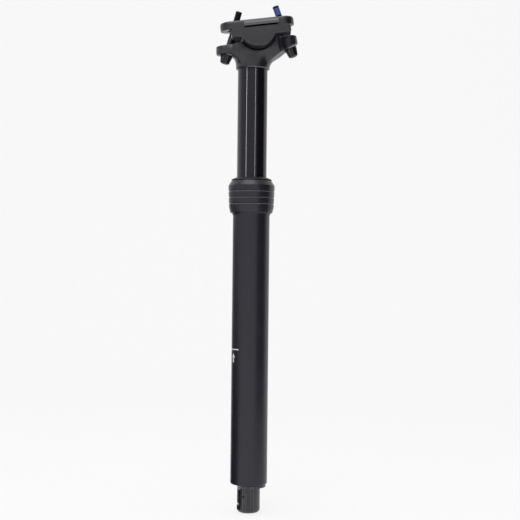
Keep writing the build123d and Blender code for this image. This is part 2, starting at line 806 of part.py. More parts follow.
def upper_clamp():
    foot = lower_lip_top + slit_h
    cover_r = rail_r + clamp_wall
    middle = (cover_rear - cover_front) / 2
    length = cover_front + cover_rear
    body = block(-cover_front, cover_rear, -rail_half_gauge, rail_half_gauge, cover_top - beam_h, cover_top)
    for side in (-1, 1):
        cover = Pos(middle, side * rail_half_gauge, rail_rise) * Rot(0, 90, 0) * Cylinder(cover_r, length)
        body += cover - block(-arm_front, arm_front, -lower_half_w, lower_half_w, -cover_top, foot)
    reach = wing_front + wing_rear
    wing = Pos((wing_rear - wing_front) / 2, 0, wing_foot) * extrude(
        SlotOverall(reach, 2 * wing_half_w), amount=wing_h)
    body += fillet(wing.edges().group_by(Axis.Z)[-1], wing_round)
    body -= rail_cut()
    pocket_half = nut_half_w + nut_gap
    pocket = nut_r + nut_gap
    for side in (-1, 1):
        place = Pos(nut_x[side], 0, nut_z)
        body -= place * cross_rod(pocket, pocket_half)
        body -= place * block(-pocket, pocket, -pocket_half, pocket_half, 0, overrun)
    body = clamp_frame * body
    for side in (-1, 1):
        body -= bolt_frame(side) * bolt_slot(pocket_drop, bolt_length)
    return body


def clamp_nut(side):
    nut = cross_rod(nut_r, nut_half_w) - block(-nut_r, nut_r, -nut_half_w, nut_half_w, 0, nut_r)
    nut = clamp_frame * Pos(nut_x[side], 0, nut_z) * nut
    return nut - bolt_frame(side) * disc(bolt_r + bolt_thread_gap, 0, bolt_length)


def thread_outline():
    root = bolt_r - thread_depth
    points = [(0, 0), (bolt_r, 0), (bolt_r, bolt_length - thread_length)]
    turns = int((thread_length - thread_depth) / thread_pitch)
    for turn in range(turns):
        low = bolt_length - thread_length + turn * thread_pitch
        points += [(root, low + thread_pitch / 2), (bolt_r, low + thread_pitch)]
    return points + [(bolt_r, bolt_length - thread_depth), (root, bolt_length), (0, bolt_length)]


def clamp_bolt():
    shank = turned(*thread_outline())
    head = turned(
        (0, 0), (head_d / 2, 0), (head_d / 2, -head_flange_h), (head_tip_d / 2, -head_h + head_round),
        (head_tip_d / 2 - head_round, -head_h), (0, -head_h))
    slope = math.degrees(math.atan2((head_d - head_tip_d) / 2, head_h - head_flange_h))
    for turn in range(flute_count):
        flute = Cylinder(flute_r, head_h, align=(Align.CENTER, Align.CENTER, Align.MAX))
        spot = Location((head_d / 2 + flute_out, 0, -head_flange_h), (0, slope, 0))
        head -= Rot(0, 0, (turn + 1 / 2) * 360 / flute_count) * spot * flute
    key = extrude(RegularPolygon(socket_d / 2, 6, major_radius=False), amount=socket_h)
    return shank + head - Pos(0, 0, -head_h) * key


def patch_shape(gap):
    top = bolt_length - patch_inset + gap
    low = top - patch_length - 2 * gap
    outer = bolt_r + patch_proud
    shell = ring(outer, bolt_r - patch_depth - gap, low, top)
    side = outer * math.sin(math.radians(patch_arc / 2)) + gap
    return shell & block(-side, side, -outer - overrun, 0, low, top)


def front_bolt():
    return bolt_frame(-1) * clamp_bolt()


def rear_bolt():
    return bolt_frame(1) * (clamp_bolt() - patch_shape(press_gap))


def bolt_patch():
    return bolt_frame(1) * patch_shape(0)


def half_washer(side):
    washer = cross_rod(half_washer_r, half_washer_half_w)
    washer -= block(-half_washer_r, half_washer_r, -half_washer_r, half_washer_r, -half_washer_r, 0)
    return bolt_frame(side) * (washer - disc(bolt_r + press_gap, -overrun, half_washer_r + overrun))


nodes = {
    "outer_tube": outer_tube(), "collar": collar(), "wiper_seal": wiper_seal(), "grease_ring": grease_ring(),
    "upper_bushing": upper_bushing(), "guide_keys": guide_keys(), "base_plug": base_plug(),
    "plug_ring": plug_ring(), "rod_locknut": rod_locknut(), "bottom_bumper": bottom_bumper(),
    "piston_rod": piston_rod(), "piston": piston(), "piston_seal": piston_seal(),
    "actuator_barrel": actuator_barrel(), "lever_pin": lever_pin(),
    "stanchion": stanchion(), "seat_head": seat_head(), "lower_bushing": lower_bushing(),
    "cartridge_cylinder": cartridge_cylinder(), "cartridge_seal_head": cartridge_seal_head(),
    "seal_head_ring": seal_head_ring(), "rod_seal": rod_seal(), "cartridge_clip": cartridge_clip(),
    "top_out_washer": top_out_washer(), "cartridge_cap": cartridge_cap(), "cap_ring": cap_ring(),
    "cartridge_nut": cartridge_nut(), "centring_ring": centring_ring(),
    "floating_piston": floating_piston(), "floating_piston_ring": floating_piston_ring(),
    "lower_clamp": lower_clamp(), "upper_clamp": upper_clamp(),
    "front_nut": clamp_nut(-1), "rear_nut": clamp_nut(1),
    "front_bolt": front_bolt(), "front_washer": half_washer(-1),
    "rear_bolt": rear_bolt(), "rear_washer": half_washer(1), "bolt_patch": bolt_patch(),
    "release_lever": release_lever(), "cable_barrel": cable_barrel(), "barrel_screw": barrel_screw(),
    "release_pin": release_pin(),
}

os.makedirs("parts", exist_ok=True)
for name, solid in nodes.items():
    export_step(solid, f"parts/{name}.step")
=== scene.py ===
import bmesh
import bpy
import math
from mathutils import Matrix, Quaternion, Vector


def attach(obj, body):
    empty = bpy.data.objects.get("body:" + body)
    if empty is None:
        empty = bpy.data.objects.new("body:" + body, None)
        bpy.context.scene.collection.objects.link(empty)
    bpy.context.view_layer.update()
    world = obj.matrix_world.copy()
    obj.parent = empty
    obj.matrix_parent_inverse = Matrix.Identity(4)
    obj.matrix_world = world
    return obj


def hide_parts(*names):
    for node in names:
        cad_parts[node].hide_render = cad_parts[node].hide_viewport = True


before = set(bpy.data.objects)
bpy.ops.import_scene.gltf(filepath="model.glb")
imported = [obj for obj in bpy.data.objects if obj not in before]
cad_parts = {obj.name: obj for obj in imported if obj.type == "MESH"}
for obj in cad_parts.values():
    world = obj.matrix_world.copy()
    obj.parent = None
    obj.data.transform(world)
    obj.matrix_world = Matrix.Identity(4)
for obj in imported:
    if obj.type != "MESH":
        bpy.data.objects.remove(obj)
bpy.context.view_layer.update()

# Camera. It stands level with the middle of the post, square to its side, with a long lens and a very
# slight roll, as the photographer held it. Lengths in this file are millimetres, and mm turns them into
# the frame's metres.
mm = 0.001
camera_place = Vector((6.8, -860, -38.3)) * mm
camera_aim = Vector((6.8, 0, -32.4)) * mm
camera_half_view = math.radians(12.63)
camera_roll = math.radians(0.59)
camera_sensor = 36
camera_near = 10
camera_far = 50000

camera_data = bpy.data.cameras.new("camera")
camera_data.sensor_width = camera_sensor
camera_data.lens = camera_sensor / 2 / math.tan(camera_half_view)
camera_data.clip_start = camera_near * mm
camera_data.clip_end = camera_far * mm
camera = bpy.data.objects.new("camera", camera_data)
camera.location = camera_place
camera.rotation_mode = "QUATERNION"
straight = (camera_aim - camera_place).to_track_quat("-Z", "Y")
camera.rotation_quaternion = straight @ Quaternion((0, 0, 1), camera_roll)
bpy.context.scene.collection.objects.link(camera)
bpy.context.scene.camera = camera
bpy.context.scene.view_settings.view_transform = "Standard"


# Room. A pale floor runs up into a backdrop in one sweep behind the post, as paper does in a studio. It is
# white to the eye and in reflections, and still takes the post's soft shadow.
class Amount:
    """A socket's value in a finish, so that sums on it are written as Python."""

    def __init__(self, finish, socket):
        self.finish = finish
        self.socket = socket

    def worked(self, operation, *terms):
        return self.finish.node("ShaderNodeMath", {"operation": operation}, dict(enumerate(terms)))

    def or_more(self, other):
        return self.worked("MAXIMUM", self, other)

    def __add__(self, other):
        return self.worked("ADD", self, other)

    def __radd__(self, other):
        return self.worked("ADD", other, self)

    def __sub__(self, other):
        return self.worked("SUBTRACT", self, other)

    def __rsub__(self, other):
        return self.worked("SUBTRACT", other, self)

    def __mul__(self, other):
        return self.worked("MULTIPLY", self, other)

    def __rmul__(self, other):
        return self.worked("MULTIPLY", other, self)

    def __truediv__(self, other):
        return self.worked("DIVIDE", self, other)

    def __abs__(self):
        return self.worked("ABSOLUTE", self)


class Finish:
    """A surface finish: one material, its shader and the nodes that vary it."""

    def __init__(self, name, fixed=None):
        self.material = bpy.data.materials.new(name)
        self.material.use_nodes = True
        self.tree = self.material.node_tree
        self.shader = self.tree.nodes["Principled BSDF"]
        for socket, value in (fixed or {}).items():
            self.shader.inputs[socket].default_value = value
        self.place = self.node("ShaderNodeTexCoord", output="Object")

    def feed(self, socket, value):
        if isinstance(value, Amount):
            self.tree.links.new(value.socket, socket)
        else:
            socket.default_value = value

    def node(self, kind, settings=None, sockets=None, output=0):
        made = self.tree.nodes.new(kind)
        for setting, value in (settings or {}).items():
            setattr(made, setting, value)
        for socket, value in (sockets or {}).items():
            self.feed(made.inputs[socket], value)
        return Amount(self, made.outputs[output])

    def show(self, socket, value):
        """Sets what one of the shader's own sockets shows."""
        self.feed(self.shader.inputs[socket], value)

    def shown(self, socket):
        """What that socket shows so far, to build on."""
        return Amount(self, self.shader.inputs[socket].links[0].from_socket)

    def axis(self, which):
        return self.node("ShaderNodeSeparateXYZ", sockets={"Vector": self.place}, output=which)

    def stretched(self, scale):
        return self.node("ShaderNodeMapping", sockets={"Vector": self.place, "Scale": scale})

    def speckle(self, size, where=None, detail=2.0):
        """Noise with spots of about the size given in millimetres."""
        return self.node(
            "ShaderNodeTexNoise",
            sockets={"Vector": where or self.place, "Scale": 1 / (size * mm), "Detail": detail},
            output="Fac")

    def between(self, low, high, value):
        """Rises softly from 0 to 1 as the value goes from low to high."""
        return self.node(
            "ShaderNodeMapRange", {"interpolation_type": "SMOOTHSTEP"},
            {"Value": value, "From Min": low, "From Max": high})

    def blend(self, share, first, second):
        return self.node("ShaderNodeMix", {"data_type": "RGBA"}, {0: share, 6: first, 7: second}, output=2)

    def dents(self, height, depth, under=None):
        """A surface pressed in by depth, in millimetres, over another where there is one."""
        sockets = {"Strength": 1.0, "Distance": depth * mm, "Height": height}
        if under:
            sockets["Normal"] = under
        return self.node("ShaderNodeBump", sockets=sockets, output="Normal")

    def worn(self):
        """1 on the edges that softened() has broken, 0 elsewhere."""
        return self.node("ShaderNodeAttribute", {"attribute_name": "worn"}, output="Fac")


def tone(red, green, blue):
    """An opaque colour."""
    return (red, green, blue, 1.0)


def sweep_finish():
    """Matte paper that glows evenly to the eye, and takes shadows in what is left over."""
    glow_share = 0.82
    paper = Finish("studio_paper", {"Roughness": 0.9, "Specular IOR Level": 0.1})
    fibre = paper.speckle(3.0, detail=3.0)
    paper.show("Base Color", paper.blend(fibre, tone(0.86, 0.86, 0.865), tone(0.89, 0.89, 0.89)))
    seen = paper.node("ShaderNodeLightPath", output="Is Camera Ray")
    mirrored = paper.node("ShaderNodeLightPath", output="Is Glossy Ray")
    through = paper.node("ShaderNodeLightPath", output="Is Transmission Ray")
    glow = paper.node("ShaderNodeEmission", sockets={"Color": tone(1.0, 1.0, 1.0), "Strength": 1.0})
    share = (seen + mirrored + through) * glow_share
    lit = Amount(paper, paper.shader.outputs[0])
    mixed = paper.node("ShaderNodeMixShader", sockets={0: share, 1: lit, 2: glow})
    paper.tree.links.new(mixed.socket, paper.tree.nodes["Material Output"].inputs["Surface"])
    return paper


floor_height = -219.4
sweep_width = 24000
sweep_near = -12000
sweep_back = 700
sweep_rise = 500
sweep_top = 6000
sweep_bend_steps = 24

sweep_shape = bmesh.new()
start = sweep_shape.verts.new(Vector((-sweep_width / 2, sweep_near, floor_height)) * mm)
bend = sweep_shape.verts.new(Vector((-sweep_width / 2, sweep_back, floor_height)) * mm)
sweep_shape.edges.new((start, bend))
bmesh.ops.spin(
    sweep_shape, geom=[bend], cent=(0, sweep_back * mm, (floor_height + sweep_rise) * mm), axis=(1, 0, 0),
    angle=math.radians(90), steps=sweep_bend_steps)
last = max(sweep_shape.verts, key=lambda corner: corner.co.y)
raised = bmesh.ops.extrude_vert_indiv(sweep_shape, verts=[last])["verts"]
bmesh.ops.translate(sweep_shape, verts=raised, vec=(0, 0, sweep_top * mm))
across = bmesh.ops.extrude_edge_only(sweep_shape, edges=sweep_shape.edges[:])
bmesh.ops.translate(
    sweep_shape, verts=[part for part in across["geom"] if isinstance(part, bmesh.types.BMVert)],
    vec=(sweep_width * mm, 0, 0))
sweep_mesh = bpy.data.meshes.new("studio_sweep")
sweep_shape.to_mesh(sweep_mesh)
sweep_shape.free()
sweep_mesh.shade_smooth()
sweep_mesh.materials.append(sweep_finish().material)
sweep = bpy.data.objects.new("studio_sweep", sweep_mesh)
bpy.context.scene.collection.objects.link(sweep)


# Lamps. The room's pale walls give most of the light. A soft box hangs high in front and a wide one
# overhead. Five cards out of the picture, which the post only mirrors, keep its right side and its lower
# left dark: four of black card, and a grey one at the left.
def soft_box(name, place, aim, width, height, brightness):
    """An area lamp that is equally bright whatever its size."""
    lamp = bpy.data.lights.new(name, "AREA")
    lamp.shape = "RECTANGLE"
    lamp.size = width * mm
    lamp.size_y = height * mm
    lamp.energy = brightness * math.pi * width * height * mm * mm
    stand = bpy.data.objects.new(name, lamp)
    stand.location = Vector(place) * mm
    stand.rotation_mode = "QUATERNION"
    stand.rotation_quaternion = (Vector(aim) * mm - stand.location).to_track_quat("-Z", "Y")
    bpy.context.scene.collection.objects.link(stand)


soft_box("front_box", place=(-300, -1100, 800), aim=(0, 0, -30), width=1000, height=500, brightness=3.0)
soft_box("top_box", place=(-100, -150, 900), aim=(0, 0, 60), width=700, height=500, brightness=3.0)


def card_stock(name, shade):
    """Matte card with a faint nap."""
    raised = shade * 1.3
    finish = Finish(name, {"Specular IOR Level": 0.1})
    nap = finish.speckle(1.0)
    finish.show("Base Color", finish.blend(nap, tone(shade, shade, shade), tone(raised, raised, raised)))
    finish.show("Roughness", 0.85 + nap * 0.1)
    return finish


black_card = card_stock("black_card", shade=0.007)
grey_card = card_stock("grey_card", shade=0.20)
card_foot = -218
right_card_turn = 70
right_card_away = 600
right_card_half = 380
right_card_top = 800
right_floor_near = (450, card_foot, 285)
left_card_turn = -112
left_card_away = 480
left_card_half = 260
left_card_foot = -130
left_card_top = 25
low_card_turn = -104
low_card_half = 340
left_floor_near = (10, card_foot, 8)


def reflected_card(name, stock, turn, near, far):
    """A card that only shows in reflections. Its near and far edges are given as distance from the post's
    axis, height and half width, and it faces the post from one side."""
    shape = bmesh.new()
    bmesh.ops.create_grid(shape, x_segments=1, y_segments=1, size=1)
    for corner in shape.verts:
        distance, height, half = near if corner.co.y < 0 else far
        corner.co = Vector((corner.co.x * half, -distance, height)) * mm
    bmesh.ops.rotate(
        shape, verts=shape.verts, cent=(0, 0, 0), matrix=Matrix.Rotation(math.radians(turn), 3, "Z"))
    mesh = bpy.data.meshes.new(name)
    shape.to_mesh(mesh)
    shape.free()
    mesh.materials.append(stock.material)
    card = bpy.data.objects.new(name, mesh)
    card.visible_camera = False
    card.visible_diffuse = False
    card.visible_shadow = False
    bpy.context.scene.collection.objects.link(card)


reflected_card(
    "right_card", black_card, right_card_turn, near=(right_card_away, card_foot, right_card_half),
    far=(right_card_away, right_card_top, right_card_half))
reflected_card(
    "right_floor_card", black_card, right_card_turn, near=right_floor_near,
    far=(right_card_away, card_foot, right_card_half))
reflected_card(
    "left_card", grey_card, left_card_turn, near=(left_card_away, left_card_foot, left_card_half),
    far=(left_card_away, left_card_top, left_card_half))
reflected_card(
    "left_low_card", black_card, low_card_turn, near=(left_card_away, card_foot, low_card_half),
    far=(left_card_away, left_card_foot, low_card_half))
reflected_card(
    "left_floor_card", black_card, low_card_turn, near=left_floor_near,
    far=(left_card_away, card_foot, low_card_half))

world = bpy.data.worlds.new("studio_air")
world.use_nodes = True
air = world.node_tree.nodes["Background"]
air.inputs["Color"].default_value = tone(0.98, 0.965, 1.02)
air.inputs["Strength"].default_value = 0.6
bpy.context.scene.world = world


# Lower tube. A drawn aluminium tube with a rolled edge at its foot and a thicker neck at its top, bead
# blasted and anodised a matte blue black. A short printed line and arrow show how far it has to go in.
tube_r = 13.6
tube_bore_r = 12.2
tube_foot = -197.8
tube_foot_round = 1.3
tube_neck_r = 14.0
tube_shoulder_r = 14.4
tube_shoulder = 2.2
tube_top = 19.7
tube_edge = 0.15
merge_reach = 0.0001
square_angle = 40


def arc(centre_r, centre_z, radius, start, end, steps):
    """Points of a rounded corner in an outline of (radius, height)."""
    turn = [math.radians(start + (end - start) * step / steps) for step in range(steps + 1)]
    return [(centre_r + radius * math.cos(angle), centre_z + radius * math.sin(angle)) for angle in turn]


def spun(outline, steps=128):
    """A closed outline of (radius, height) points, spun about the post's axis."""
    shape = bmesh.new()
    shape.faces.layers.float.new("worn")
    corners = [shape.verts.new((radius * mm, 0, height * mm)) for radius, height in outline]
    edges = [shape.edges.new(pair) for pair in zip(corners, corners[1:] + corners[:1])]
    bmesh.ops.spin(
        shape, geom=corners + edges, cent=(0, 0, 0), axis=(0, 0, 1), angle=2 * math.pi, steps=steps,
        use_merge=True)
    bmesh.ops.remove_doubles(shape, verts=shape.verts, dist=merge_reach * mm)
    bmesh.ops.recalc_face_normals(shape, faces=shape.faces)
    return shape


def sharp_edges(shape, angle):
    """The edges where two faces meet at more than an angle in degrees."""
    return [edge for edge in shape.edges
            if edge.is_manifold and edge.calc_face_angle() > math.radians(angle)]


def bevelled(shape, edges, width, segments, held=False):
    """Rounds edges by a width in millimetres, held back where rounds would cross or not, and gives the new
    faces."""
    return bmesh.ops.bevel(
        shape, geom=edges, offset=width * mm, offset_type="OFFSET", segments=segments, profile=0.5,
        affect="EDGES", clamp_overlap=held, material=-1)["faces"]


def softened(shape, width, segments=2, sharp_angle=28):
    """Breaks the sharp edges of a shape, and marks the new faces as worn."""
    worn = shape.faces.layers.float["worn"]
    for face in bevelled(shape, sharp_edges(shape, sharp_angle), width, segments):
        face[worn] = 1.0
    return shape


def even_normals(mesh, smooth):
    """The shading direction at each corner of each face, ruled by the larger faces, so that a narrow broken
    edge doesn't shade the wall beside it."""
    faces = [(face.normal.copy(), face.area) for face in mesh.polygons]
    around = [[] for corner in mesh.vertices]
    for face in mesh.polygons:
        for corner in face.vertices:
            around[corner].append(face.index)
    limit = math.cos(math.radians(smooth))
    directions = []
    for face in mesh.polygons:
        own = faces[face.index][0]
        for corner in face.vertices:
            near = [faces[index] for index in around[corner]]
            total = sum((normal * area for normal, area in near if normal.dot(own) > limit), Vector())
            directions.append(total.normalized() if total.length else own)
    return directions


def finished_piece(name, shape, body, finishes, nodes, smooth=35, even=True):
    """Turns a shape into the piece that stands for some of the solids."""
    mesh = bpy.data.meshes.new(name)
    shape.to_mesh(mesh)
    shape.free()
    for finish in finishes:
        mesh.materials.append(finish.material)
    if "custom_normal" in mesh.attributes:
        mesh.attributes.remove(mesh.attributes["custom_normal"])
    mesh.shade_smooth()
    mesh.set_sharp_from_angle(angle=math.radians(smooth))
    if even:
        mesh.normals_split_custom_set(even_normals(mesh, smooth))
    made = bpy.data.objects.new(name, mesh)
    bpy.context.scene.collection.objects.link(made)
    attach(made, body)
    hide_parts(*nodes)


def anodised(name, dark, light, roughness, blast=0.12, blast_depth=0.006, gloss=1.5):
    """Blasted and dyed aluminium, paler and smoother where its edges have been handled."""
    finish = Finish(name, {"IOR": gloss})
    cloud = finish.speckle(14.0)
    blasted = finish.speckle(blast, detail=3.0)
    edge = finish.worn() * finish.between(0.35, 0.75, finish.speckle(1.6))
    skin = finish.blend(cloud, dark, light)
    finish.show("Base Color", finish.blend(edge * 0.55, skin, tone(0.16, 0.16, 0.17)))
    finish.show("Roughness", roughness - 0.06 + cloud * 0.12 - edge * 0.1)
    finish.show("Normal", finish.dents(blasted, blast_depth))
    return finish


tube_foot_corner = arc(
    tube_r - tube_foot_round, tube_foot + tube_foot_round, tube_foot_round, start=-90, end=0, steps=6)
tube_outline = [
    (tube_bore_r, tube_foot), (tube_r - tube_foot_round, tube_foot), *tube_foot_corner[1:], (tube_r, 0),
    (tube_shoulder_r, tube_shoulder), (tube_neck_r, tube_shoulder), (tube_neck_r, tube_top),
    (tube_bore_r, tube_top)]

tube_finish = anodised(
    "tube_anodised", tone(0.011, 0.011, 0.018), tone(0.015, 0.015, 0.024), roughness=0.34)
mark_height = -98.3
mark_turn = -62.0
mark_half_turn = 24.0
mark_half = math.radians(mark_half_turn) * tube_r
mark_line = 0.35
arrow_gap = 2.6
arrow_head = 3.4
arrow_length = 6.9
arrow_half = 2.1
arrow_stem = 0.8
arrow_tip = mark_height - arrow_gap
arrow_neck = arrow_tip - arrow_head
arrow_foot = arrow_tip - arrow_length
line_blur = 0.12
stem_blur = 0.15
point_blur = 0.1
end_blur = 0.2
height_up = tube_finish.axis(2) / mm
rightward = tube_finish.axis(0)
turned_to = rightward.worked("ARCTAN2", rightward, 0 - tube_finish.axis(1))
off_mark = abs(turned_to - math.radians(mark_turn)) * tube_r
off_side = off_mark - (arrow_tip - height_up) * (arrow_half / arrow_head)


def up_to(limit, blur, value):
    """Ink where a value is under its limit, with an edge that is a little blurred."""
    return 1 - tube_finish.between(limit, limit + blur, value)


def above(height):
    """Ink over a height on the tube."""
    return tube_finish.between(height - point_blur, height + point_blur, height_up)


line_ink = up_to(mark_line, line_blur, abs(height_up - mark_height)) * up_to(mark_half, end_blur, off_mark)
head_ink = up_to(-point_blur, 2 * point_blur, off_side) * above(arrow_neck)
stem_ink = up_to(arrow_stem, stem_blur, off_mark) * above(arrow_foot) * up_to(arrow_neck, end_blur, height_up)
ink = line_ink.or_more(head_ink).or_more(stem_ink)
rubbed = ink * (1 - 0.35 * tube_finish.between(0.5, 0.7, tube_finish.speckle(0.9)))
tube_finish.show(
    "Base Color", tube_finish.blend(rubbed, tube_finish.shown("Base Color"), tone(0.72, 0.72, 0.72)))

finished_piece(
    "lower_tube", softened(spun(tube_outline), tube_edge, sharp_angle=square_angle), "lower_post",
    [tube_finish], ["outer_tube"])


# Collar. A turned aluminium ring screwed over the tube's neck, dyed black, with three fine grooves cut
# afterwards. The lower, upward-facing side of each groove is painted pale grey, a painted highlight where
# light from above falls on it.
collar_foot = 2.2
collar_top = 26.2
collar_bore_r = 14.02
collar_lip_r = 12.6
collar_lip_foot = 24.1
collar_foot_r = 15.3
collar_foot_corner = (15.6, 2.5)
collar_low = (16.6, 6.6)
collar_high = (17.15, 20.92)
collar_shoulder = [(17.2, 22.3), (17.1, 22.62), (16.85, 22.9)]
collar_brow = [(15.2, 25.55), (14.95, 25.9)]
collar_top_r = 14.6
collar_grooves = (8.95, 13.55, 18.15)
collar_steps = 144
groove_half = 0.5
groove_floor_half = 0.06
groove_depth = 0.45
groove_reach = 0.5


def collar_skin(height):
    """The collar's radius at a height on its tapered side."""
    rise = (height - collar_low[1]) / (collar_high[1] - collar_low[1])
    return collar_low[0] + rise * (collar_high[0] - collar_low[0])


def bright_alloy(name, tint, roughness, metallic=1.0):
    """Bare turned metal, with fine tool lines."""
    dull_share = 0.8
    finish = Finish(name, {"Metallic": metallic})
    lines = finish.speckle(0.35, finish.stretched((0.25, 0.25, 3.0)), detail=3.0)
    cloud = finish.speckle(3.0)
    finish.show("Base Color", finish.blend(cloud, tint, tone(*(part * dull_share for part in tint[:3]))))
    finish.show("Roughness", roughness - 0.05 + lines * 0.12)
    finish.show("Normal", finish.dents(lines, 0.004))
    return finish


collar_outline = [(collar_bore_r, collar_foot), (collar_foot_r, collar_foot), collar_foot_corner, collar_low]
for groove in collar_grooves:
    skin = collar_skin(groove)
    floor = skin - groove_depth
    collar_outline += [
        (skin, groove - groove_half), (floor, groove - groove_floor_half),
        (floor, groove + groove_floor_half), (skin, groove + groove_half)]
collar_outline += [
    collar_high, *collar_shoulder, *collar_brow, (collar_top_r, collar_top), (collar_lip_r, collar_top),
    (collar_lip_r, collar_lip_foot), (collar_bore_r, collar_lip_foot)]

ring_stretch = (0.02, 0.02, 4.0)
collar_finish = anodised(
    "collar_anodised", tone(0.012, 0.011, 0.017), tone(0.017, 0.016, 0.023), roughness=0.30, blast=0.09)
rings = collar_finish.speckle(0.5, collar_finish.stretched(ring_stretch), detail=1.0)
collar_finish.show("Normal", collar_finish.dents(rings, 0.004, collar_finish.shown("Normal")))
# A pale grey painted highlight for the grooves' lower, upward-facing walls, where light from above falls on
# them.
painted_groove_highlight = Finish("groove_painted_highlight", {"IOR": 1.6})
groove_lines = painted_groove_highlight.speckle(0.6, painted_groove_highlight.stretched(ring_stretch), detail=1.0)
painted_groove_highlight.show(
    "Base Color", painted_groove_highlight.blend(groove_lines, tone(0.12, 0.12, 0.13), tone(0.17, 0.17, 0.18)))
painted_groove_highlight.show("Roughness", 0.40 + groove_lines * 0.08)

collar_shape = spun(collar_outline, collar_steps)
# The faces of each groove's lower wall take the painted highlight.
for face in collar_shape.faces:
    middle = face.calc_center_median() / mm
    for groove in collar_grooves:
        below = groove - groove_half < middle.z < groove - groove_floor_half
        if below and middle.xy.length > collar_skin(groove) - groove_reach:
            face.material_index = 1
finished_piece(
    "collar_ring", collar_shape, "lower_post", [collar_finish, painted_groove_highlight], ["collar"],
    smooth=30)


# Wiper and felt. A moulded rubber ring snaps into the collar's mouth, its lip and two small teeth riding
# in the shaft's grooves, with an oiled felt ring below it.
solid_merge_reach = 0.002
flat_angle = 0.6


def from_solid(node):
    """A merged copy of a solid, with its flat triangles joined."""
    shape = bmesh.new()
    shape.from_mesh(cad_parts[node].data)
    shape.faces.layers.float.new("worn")
    bmesh.ops.remove_doubles(shape, verts=shape.verts, dist=solid_merge_reach * mm)
    bmesh.ops.dissolve_limit(
        shape, angle_limit=math.radians(flat_angle), use_dissolve_boundaries=False, verts=shape.verts,
        edges=shape.edges, delimit=set())
    return shape


def rubber(name, dark, roughness):
    """Moulded black rubber with a little dust on it."""
    finish = Finish(name, {"IOR": 1.5})
    skin = finish.speckle(0.4, detail=4.0)
    dust = finish.between(0.5, 0.8, finish.speckle(4.0))
    finish.show("Base Color", finish.blend(dust * 0.35, dark, tone(0.05, 0.05, 0.05)))
    finish.show("Roughness", roughness + skin * 0.15)
    finish.show("Normal", finish.dents(skin, 0.01))
    return finish


wiper_edge_r = 14.95
wiper_edge_inner = 14.2
wiper_break = 0.12
wiper_finish = rubber("wiper_rubber", tone(0.012, 0.012, 0.013), roughness=0.42)
wiper_shape = from_solid("wiper_seal")
for corner in wiper_shape.verts:
    reach = corner.co.xy.length / mm
    if reach > wiper_edge_inner:
        corner.co.xy *= wiper_edge_r / reach
finished_piece(
    "wiper_lip", softened(wiper_shape, wiper_break), "lower_post", [wiper_finish],
    ["wiper_seal"])


def finish_solids(finish, nodes):
    """Gives solids that stay as they are their finish."""
    for node in nodes:
        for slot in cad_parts[node].material_slots:
            slot.material = finish.material


felt = Finish("oiled_felt", {"IOR": 1.4})
felt_hair = felt.speckle(0.3, detail=6.0)
felt.show("Base Color", felt.blend(felt_hair, tone(0.10, 0.10, 0.09), tone(0.24, 0.23, 0.21)))
felt.show("Roughness", 0.75 + felt_hair * 0.2)
felt.show("Normal", felt.dents(felt_hair, 0.06))
finish_solids(felt, ["grease_ring"])


# Slide parts. Two plain bushes of filled plastic carry the shaft, and two brass keys in the neck run in
# its grooves, so that the saddle can't turn.
def moulded(name, dark, light, roughness):
    """Moulded plastic, faintly cloudy."""
    finish = Finish(name, {"IOR": 1.48})
    cloud = finish.speckle(2.0)
    skin = finish.speckle(0.25, detail=3.0)
    finish.show("Base Color", finish.blend(cloud, dark, light))
    finish.show("Roughness", roughness + skin * 0.1)
    finish.show("Normal", finish.dents(skin, 0.006))
    return finish


finish_solids(
    moulded("bush_plastic", tone(0.03, 0.03, 0.03), tone(0.045, 0.045, 0.045), roughness=0.45),
    ["upper_bushing", "lower_bushing"])
finish_solids(bright_alloy("key_brass", tone(0.72, 0.50, 0.20), roughness=0.28), ["guide_keys"])


# Shaft. A drawn aluminium tube, hard anodised, ground round and polished, with a long flat groove milled
# in front and behind. The grooves' edges are broken by hand and have worn bright.
shaft_finish = Finish("shaft_anodised", {"IOR": 1.5})
shaft_cloud = shaft_finish.speckle(20.0)
shaft_grind = shaft_finish.speckle(0.3, shaft_finish.stretched((0.05, 0.05, 5.0)), detail=2.0)
shaft_finish.show(
    "Base Color", shaft_finish.blend(shaft_cloud, tone(0.005, 0.004, 0.007), tone(0.008, 0.007, 0.011)))
shaft_finish.show("Roughness", 0.12 + shaft_cloud * 0.04 + shaft_grind * 0.04)
shaft_finish.show("Normal", shaft_finish.dents(shaft_grind, 0.0012))
shaft_edge_finish = bright_alloy("groove_edge", tone(0.74, 0.74, 0.76), roughness=0.45)

groove_edge_r = 10.55
groove_edge_width = 0.5
groove_edge_steps = 3
upright_share = 0.9


def along_groove(edge):
    """Whether an edge runs up the shaft's outer skin, as the grooves' edges do."""
    run = edge.verts[0].co - edge.verts[1].co
    middle = (edge.verts[0].co + edge.verts[1].co) / 2 / mm
    return abs(run.z) > upright_share * run.length and middle.xy.length > groove_edge_r


shaft_shape = from_solid("stanchion")
groove_edges = [edge for edge in sharp_edges(shaft_shape, square_angle) if along_groove(edge)]
for face in bevelled(shaft_shape, groove_edges, groove_edge_width, groove_edge_steps):
    face.material_index = 1
finished_piece(
    "shaft", shaft_shape, "upper_post", [shaft_finish, shaft_edge_finish], ["stanchion"],
    smooth=25)


